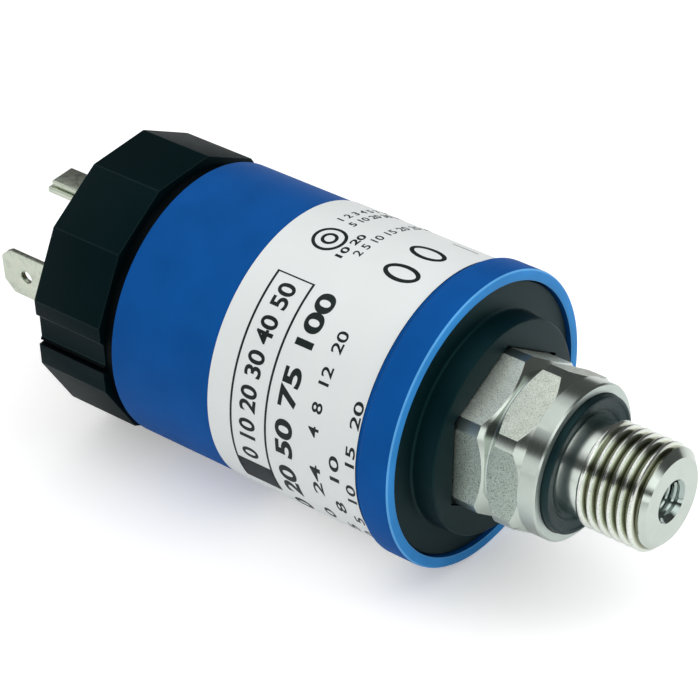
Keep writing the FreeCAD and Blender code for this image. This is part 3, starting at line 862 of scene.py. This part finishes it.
def printRing(angle, x, radius, width, stretch=1.0):
    # stretch lengthens the ring along the body
    bpy.ops.object.select_all(action="DESELECT")
    bpy.ops.mesh.primitive_circle_add(vertices=72, radius=radius * mm, fill_type="NGON",
                                      location=(alongLabel(angle) * mm, -x * mm, 0))
    ring = bpy.context.object
    ring.scale = (1, stretch, 1)
    settle(ring)
    editMode(ring)
    bpy.ops.mesh.select_all(action="SELECT")
    bpy.ops.mesh.inset(thickness=width * mm)
    bpy.ops.mesh.delete(type="FACE")
    objectMode()
    applyModifier(ring, "SOLIDIFY", thickness=ink["height"] * mm, offset=1)
    printed.append(ring)


printBar(118.5, 24.4, -37.5, -37.2)
printBar(118.5, 24.4, -32.3, -32.0)
printBar(25.0, 24.4, -37.5, -32.0)
printBar(118.5, 104.6, -37.5, -32.0)
printFigures("0 10 20 30 40 50", 102, 28, -36.1, -33.7, 0.024)
printFigures("0 20 50 75 100", 127, 25.5, -30.7, -28.1, 0.034)
printFigures("4  8  12  20", 78, 36.4, -25.9, -24.4, 0.015)
printFigures("0  24", 122, 90, -25.6, -24.1, 0.015)
printFigures("5  8  10", 126, 82, -22.7, -21.3, 0.015)
printFigures("0  5  10  15  20", 126, 57.5, -20.4, -19.05, 0.015)
printRing(3.0, -35.0, 2.15, 0.42)
printRing(3.0, -35.0, 1.05, 0.42)
printFigures("10 20", 9.9, -6.1, -32.6, -31.6, 0.03)
printFigures("2 5 10 15 20 25 30", 5.9, -42, -31.0, -29.9, 0.012)
printFigures("1 2 3 4 5 7 10", -9.5, -42, -37.1, -36.1, 0.02)
printFigures("5 10 20 30 50", -8.8, -42, -35.3, -34.3, 0.02)
printRing(5.2, -23.9, 1.45, 0.55, 1.7)
printRing(-11.0, -24.0, 1.45, 0.55, 1.7)
printBar(-29.6, -30.2, -24.7, -21.0)

printPiece = joinPieces(printed, "labelPrint")
settle(printPiece)
reachLow = min(vertex.co.x for vertex in printPiece.data.vertices) / mm
reachHigh = max(vertex.co.x for vertex in printPiece.data.vertices) / mm
editMode(printPiece)
place = reachLow + ink["cut"]
while place < reachHigh:
    bpy.ops.mesh.select_all(action="SELECT")
    bpy.ops.mesh.bisect(plane_co=(place * mm, 0, 0), plane_no=(1, 0, 0))
    place += ink["cut"]
objectMode()
for vertex in printPiece.data.vertices:
    along, up, rise = vertex.co
    radius = ink["radius"] * mm + rise + ink["lift"] * mm
    turn = along / (ink["radius"] * mm)
    vertex.co = (-up, radius * math.sin(turn), radius * math.cos(turn))
cleanUp(printPiece, 0.0001)
finishPiece(printPiece, printInk, "label_white")
print("label made:", len(printPiece.data.polygons), "faces of print")


# connector cap

cap = {
    "sides": 12,
    "flats": 34.8,
    "front": -58.7,
    "back": -69.3,
    "edge": 0.1,
    "neck": (16.6, -56.2),
    "spigot": (15.8, -50.0),
    "cavity": (14.0, -64.5),
    "bore": 12.6,
    "channel": (2.6, -1.5, 0.6, 0.55),  # top, bottom, slope of the walls, depth
    "slit": (-1.75, -1.25, 1.3),  # narrow slit along the channel's lower wall, and its depth
    "turn": -1.0,  # degrees about the axis
    "lean": (-0.035, 0.008),  # the ring sits slightly askew, by this much of Y and Z
}
bpy.ops.object.select_all(action="DESELECT")
bpy.ops.mesh.primitive_cylinder_add(
    vertices=cap["sides"], radius=cap["flats"] / 2 / math.cos(math.pi / cap["sides"]) * mm,
    depth=(cap["front"] - cap["back"]) * mm, location=((cap["front"] + cap["back"]) / 2 * mm, 0, 0),
    rotation=(0, math.pi / 2, 0))
capPiece = bpy.context.object
capPiece.name = "connectorCap"
settle(capPiece)
capPiece.rotation_euler = (math.pi / cap["sides"], 0, 0)
settle(capPiece)
top, bottom, slope, depth = cap["channel"]
side = -cap["flats"] / 2
channel = boxPiece("channel", (cap["back"] - 1, side - depth, bottom - slope),
                   (cap["front"] + 1, side + depth, top + slope))
for vertex in channel.data.vertices:
    if vertex.co.y > side * mm:
        vertex.co.z += (-2 * slope if vertex.co.z > 0 else 2 * slope) * mm
carve(capPiece, channel)
slitLow, slitHigh, slitDepth = cap["slit"]
carve(capPiece, boxPiece("slit", (cap["back"] - 1, side - 1, slitLow),
                         (cap["front"] + 1, side + slitDepth, slitHigh)))
capPiece.data.materials.append(blackCap)
capPiece.data.materials.append(blackEdge)
capPiece.data.materials.append(blackNeckShade)
edgeSlot, shadeSlot = 1, 2
softenEdges(capPiece, cap["edge"], 2, 20, edgeSlot)
capPiece.rotation_euler = (math.radians(cap["turn"]), 0, 0)
settle(capPiece)
for vertex in capPiece.data.vertices:
    vertex.co.x += cap["lean"][0] * vertex.co.y + cap["lean"][1] * vertex.co.z
hollow = rodPiece("hollow", cap["bore"], cap["back"] - 1, cap["front"] + 1, vertices=128)
carve(capPiece, hollow)
spigot = turnedPiece("spigot", [
    (cap["cavity"][1], cap["bore"] - 1),
    (cap["cavity"][1], cap["cavity"][0] + 1),
    (cap["front"] - 1, cap["cavity"][0] + 1),
    (cap["front"] - 1, cap["neck"][0]),
    (cap["neck"][1], cap["neck"][0], 0.1),
    (cap["neck"][1], cap["spigot"][0]),
    (cap["spigot"][1], cap["spigot"][0]),
    (cap["spigot"][1], cap["cavity"][0]),
    (cap["cavity"][1] + 1.5, cap["cavity"][0]),
    (cap["cavity"][1] + 1.5, cap["bore"] - 1),
], 128)
hollow = rodPiece("hollow", cap["bore"], cap["back"] - 1, cap["cavity"][1] + 1, vertices=128)
carve(capPiece, spigot, "UNION")
carve(capPiece, hollow)
cleanUp(capPiece)
# painted shade: faces in the slit and on the spigot's neck get the darker black
for face in capPiece.data.polygons:
    middle = face.center / mm
    inSlit = middle.y < side + slitDepth + 0.1 and -1.6 < middle.z < -0.7
    if inSlit or middle.x > cap["front"] + 0.8:
        face.material_index = shadeSlot
finishPiece(capPiece, None, "black_plastic", "connector_cap", angle=20)
print("cap made:", len(capPiece.data.polygons), "faces")


# contacts

blade = {
    "tip": -82.3,
    "root": -59.6,
    "stop": (-62.0, -60.8, 3.95),
    "half": 3.15,
    "tipHalf": 1.7,
    "tipLength": 1.5,
    "tailHalf": 1.0,
    "side": (-9.6, -8.8),
    "hole": (-78.1, 0.875),
    "coin": 0.26,  # chamfer all round the tip
    "edge": 0.1,
}


def bladePiece(name):
    # a strip widened at its stop, narrowed at its tip and tail, with one hole
    stop = blade["stop"]
    outline = [
        (blade["tip"], -blade["tipHalf"]), (blade["tip"], blade["tipHalf"]),
        (blade["tip"] + blade["tipLength"], blade["half"]), (stop[0], blade["half"]),
        (stop[0], stop[2]), (stop[1], stop[2]), (stop[1], blade["tailHalf"]),
        (blade["root"], blade["tailHalf"]), (blade["root"], -blade["tailHalf"]),
        (stop[1], -blade["tailHalf"]), (stop[1], -stop[2]), (stop[0], -stop[2]),
        (stop[0], -blade["half"]), (blade["tip"] + blade["tipLength"], -blade["half"]),
        (blade["tip"], -blade["tipHalf"])]
    piece = drawLine(name, outline)
    cleanUp(piece)
    editMode(piece)
    bpy.ops.mesh.select_all(action="SELECT")
    bpy.ops.mesh.edge_face_add()
    bpy.ops.transform.translate(value=(0, blade["side"][0] * mm, 0))
    thickness = blade["side"][1] - blade["side"][0]
    bpy.ops.mesh.extrude_region_move(TRANSFORM_OT_translate={"value": (0, thickness * mm, 0)})
    objectMode()
    cleanUp(piece)
    editMode(piece)
    pickVertices(piece, lambda p: p.x < blade["tip"] + blade["tipLength"] + 0.01)
    bpy.ops.mesh.bevel(offset=blade["coin"] * mm, segments=1, affect="EDGES")
    objectMode()
    bpy.ops.object.select_all(action="DESELECT")
    bpy.ops.mesh.primitive_cylinder_add(vertices=48, radius=blade["hole"][1] * mm, depth=4 * mm,
                                        location=(blade["hole"][0] * mm, blade["side"][0] * mm, 0),
                                        rotation=(math.pi / 2, 0, 0))
    drill = bpy.context.object
    settle(drill)
    carve(piece, drill)
    softenEdges(piece, blade["edge"], 2, 30)
    return piece


bladeOne = bladePiece("flatContact1")
bladeTwo = copyTurned(bladeOne, "flatContact2", 180)
bladeThree = copyTurned(bladeOne, "flatContact3", 90)
for number, piece in enumerate((bladeOne, bladeTwo, bladeThree), 1):
    finishPiece(piece, tinPlated, "contact_metal", f"contact_blade_{number}")
print("contacts made")


# earth contact: a strip folded on itself, the upper layer shorter and narrower

earth = {
    "back": -61.3,
    "lower": ((-79.9, -2.35, 8.15), (2.35, 8.97)),
    "upper": ((-79.5, -1.95, 9.05), (1.75, 9.85)),
    "fold": ((-79.2, 0.9, 8.6), (1.75, 9.4)),
    "edge": 0.22,
    "stop": ((-62.0, -3.95, 8.15), (-60.8, 3.95, 9.85)),
    "tail": ((-61.0, -1.0, 8.15), (-59.6, 1.0, 9.85)),
}
layers = []
for key in ("lower", "upper", "fold"):
    low, high = earth[key]
    layer = boxPiece("layer", low, (earth["back"], *high))
    if key != "fold":
        softenEdges(layer, earth["edge"], 3, 30)
    layers.append(layer)
earthPiece = layers[0]
earthPiece.name = "earthContact"
carve(earthPiece, layers[1], "UNION")
carve(earthPiece, layers[2], "UNION")
for key in ("stop", "tail"):
    carve(earthPiece, boxPiece(key, *earth[key]), "UNION")
cleanUp(earthPiece)
finishPiece(earthPiece, tinPlated, "contact_metal", "earth_blade")
print("earth contact made")


# carrier that holds the contacts, with the screw insert's and the vent's places left open

carrier = {
    "back": -70.3,
    "shoulder": -64.5,
    "front": -62.0,
    "radius": 12.5,
    "flange": 13.9,
    "hole": 2.72,
    "vent": (5.23, -5.23, 1.62, -69.3),
}
carrierPiece = turnedPiece("contactCarrier", [
    (carrier["back"], carrier["hole"], 0.15),
    (carrier["back"], carrier["radius"], 0.3),
    (carrier["shoulder"], carrier["radius"]),
    (carrier["shoulder"], carrier["flange"]),
    (carrier["front"], carrier["flange"]),
    (carrier["front"], carrier["hole"]),
], 128)
ventY, ventZ, ventRadius, ventFloor = carrier["vent"]
carve(carrierPiece, rodPiece("pocket", ventRadius, carrier["back"] - 1, ventFloor, ventY, ventZ))
cleanUp(carrierPiece)
finishPiece(carrierPiece, blackMoulded, "black_plastic", "contact_carrier")
print("carrier made")


# finishes of the nodes that keep their own shape

kept = {
    "plug_screw_insert": brassTurned,
    "vent_filter": ventFelt,
    "cap_seal_ring": blackSeal,
    "cap_snap_ring": springWire,
    "disc_seal_ring": blackSeal,
    "fitting_seal_ring": blackSeal,
    "cell_housing": steelTurned,
    "sensor_cell": cellAlumina,
    "cell_seal_ring": blackSeal,
    "cell_clamp_ring": brassTurned,
    "cell_leads": leadTin,
    "circuit_board": boardLacquer,
    "board_carrier": carrierGrey,
    "amplifier_chip": chipResin,
    "voltage_regulator": chipResin,
    "filter_capacitors": capacitorClay,
    "surge_diodes": chipResin,
    "earth_lead": leadTin,
    "signal_lead": leadTin,
}
for node, finish in kept.items():
    for place in bpy.data.objects[node].material_slots:
        place.material = finish
print("kept nodes finished:", len(kept))

# studio: pale floor, white backdrop, soft light

floorLevel = cadBox[0].z
bpy.ops.object.select_all(action="DESELECT")
bpy.ops.mesh.primitive_plane_add(size=6, location=(0, 0, floorLevel))
floor = bpy.context.object
floor.name = "studioFloor"
floorFinish = Finish("studioFloor", (0.94, 0.94, 0.94), 0.9, specular=0.0)
glow = floorFinish.node("ShaderNodeEmission")
seen = floorFinish.node("ShaderNodeLightPath").outputs["Is Camera Ray"]
floorFinish.connect(floorFinish.math("MULTIPLY", seen, 0.3), glow.inputs["Strength"])
both = floorFinish.node("ShaderNodeAddShader")
floorFinish.connect(floorFinish.shader.outputs[0], both.inputs[0])
floorFinish.connect(glow.outputs[0], both.inputs[1])
floorFinish.connect(both.outputs[0], floorFinish.nodes["Material Output"].inputs["Surface"])
floor.data.materials.append(floorFinish.material)

sky = {
    # angle from straight up towards -Y, in degrees, and the light seen there in gloss
    "bands": [(-180, 0.9), (-115, 0.85), (-100, 0.35), (-88, 0.1), (-42, 0.08), (-26, 0.7),
              (-12, 1.05), (18, 1.0), (34, 0.5), (44, 0.06), (63, 0.05), (67, 0.95), (125, 0.9),
              (180, 0.9)],
    "level": 0.57,
    "ahead": (0.76, 0.86, 1.4),  # towards +X the bands are this much brighter
}
world = bpy.data.worlds.new("studio")
scene.world = world
world.use_nodes = True
tree = world.node_tree
for old in list(tree.nodes):
    tree.nodes.remove(old)
output = tree.nodes.new("ShaderNodeOutputWorld")
path = tree.nodes.new("ShaderNodeLightPath")
direction = tree.nodes.new("ShaderNodeTexCoord")
split = tree.nodes.new("ShaderNodeSeparateXYZ")
tree.links.new(direction.outputs["Generated"], split.inputs[0])
flip = tree.nodes.new("ShaderNodeMath")
flip.operation = "MULTIPLY"
flip.inputs[1].default_value = -1
tree.links.new(split.outputs["Y"], flip.inputs[0])
angle = tree.nodes.new("ShaderNodeMath")
angle.operation = "ARCTAN2"
tree.links.new(flip.outputs[0], angle.inputs[0])
tree.links.new(split.outputs["Z"], angle.inputs[1])
share = tree.nodes.new("ShaderNodeMapRange")
share.inputs["From Min"].default_value = -math.pi
share.inputs["From Max"].default_value = math.pi
tree.links.new(angle.outputs[0], share.inputs["Value"])
bands = tree.nodes.new("ShaderNodeValToRGB")
bands.color_ramp.interpolation = "EASE"
stops = bands.color_ramp.elements
for index, (degrees, light) in enumerate(sky["bands"]):
    position = (degrees + 180) / 360
    if index == 0:
        stop = stops[0]
    elif index == len(sky["bands"]) - 1:
        stop = stops[-1]
    else:
        stop = stops.new(position)
    stop.position = position
    stop.color = (light, light, light, 1)
tree.links.new(share.outputs[0], bands.inputs[0])
plain = tree.nodes.new("ShaderNodeBackground")
plain.inputs["Color"].default_value = (1, 1, 1, 1)
plain.inputs["Strength"].default_value = sky["level"]
shown = tree.nodes.new("ShaderNodeBackground")
shown.inputs["Color"].default_value = (1, 1, 1, 1)
shown.inputs["Strength"].default_value = 1.0
glossy = tree.nodes.new("ShaderNodeBackground")
tree.links.new(bands.outputs[0], glossy.inputs["Color"])
lift = tree.nodes.new("ShaderNodeMapRange")
for socket, value in zip(("From Min", "From Max", "To Max"), sky["ahead"]):
    lift.inputs[socket].default_value = value
lift.inputs["To Min"].default_value = 1.0
tree.links.new(split.outputs["X"], lift.inputs["Value"])
tree.links.new(lift.outputs[0], glossy.inputs["Strength"])
glossyMix = tree.nodes.new("ShaderNodeMixShader")
tree.links.new(path.outputs["Is Glossy Ray"], glossyMix.inputs[0])
tree.links.new(plain.outputs[0], glossyMix.inputs[1])
tree.links.new(glossy.outputs[0], glossyMix.inputs[2])
cameraMix = tree.nodes.new("ShaderNodeMixShader")
tree.links.new(path.outputs["Is Camera Ray"], cameraMix.inputs[0])
tree.links.new(glossyMix.outputs[0], cameraMix.inputs[1])
tree.links.new(shown.outputs[0], cameraMix.inputs[2])
tree.links.new(cameraMix.outputs[0], output.inputs["Surface"])

lamps = {
    # name: place in millimetres, size in millimetres, watts
    "overhead": ((-60, -60, 420), 500, 0.78),
    "front": ((120, -420, 160), 400, 0.3),
    "ahead": ((90, 50, 110), 90, 0.075),
}
for name, (place, size, watts) in lamps.items():
    bpy.ops.object.select_all(action="DESELECT")
    bpy.ops.object.light_add(type="AREA", location=[value * mm for value in place])
    lamp = bpy.context.object
    lamp.name = name
    lamp.data.size = size * mm
    lamp.data.energy = watts
    aim = Vector((-30 * mm, 0, 0)) - lamp.location
    lamp.rotation_euler = aim.to_track_quat("-Z", "Y").to_euler()
    lamp.visible_glossy = False
    lamp.visible_camera = False

# camera at the photograph's place

view = {
    "azimuth": 40.917,
    "elevation": 36.569,
    "roll": -3.746,
    "lens": 154.7,
    "place": (154.04, -216.75, 214.42),
}
azimuth, elevation, roll = (math.radians(view[key]) for key in ("azimuth", "elevation", "roll"))
forward = Vector((-math.sin(azimuth) * math.cos(elevation), math.cos(azimuth) * math.cos(elevation),
                  -math.sin(elevation)))
right = Vector((math.cos(azimuth), math.sin(azimuth), 0))
upward = right.cross(forward)
cameraData = bpy.data.cameras.new("camera")
cameraData.lens = view["lens"]
cameraData.sensor_width = 36
cameraData.clip_start = 0.01
camera = bpy.data.objects.new("camera", cameraData)
scene.collection.objects.link(camera)
scene.camera = camera
axisX = right * math.cos(roll) + upward * math.sin(roll)
axisY = -right * math.sin(roll) + upward * math.cos(roll)
turn = camera.matrix_world.to_3x3()
for row in range(3):
    turn[row][0], turn[row][1], turn[row][2] = axisX[row], axisY[row], -forward[row]
camera.rotation_euler = turn.to_euler()
camera.location = [value * mm for value in view["place"]]
print("studio made")

bpy.context.view_layer.update()
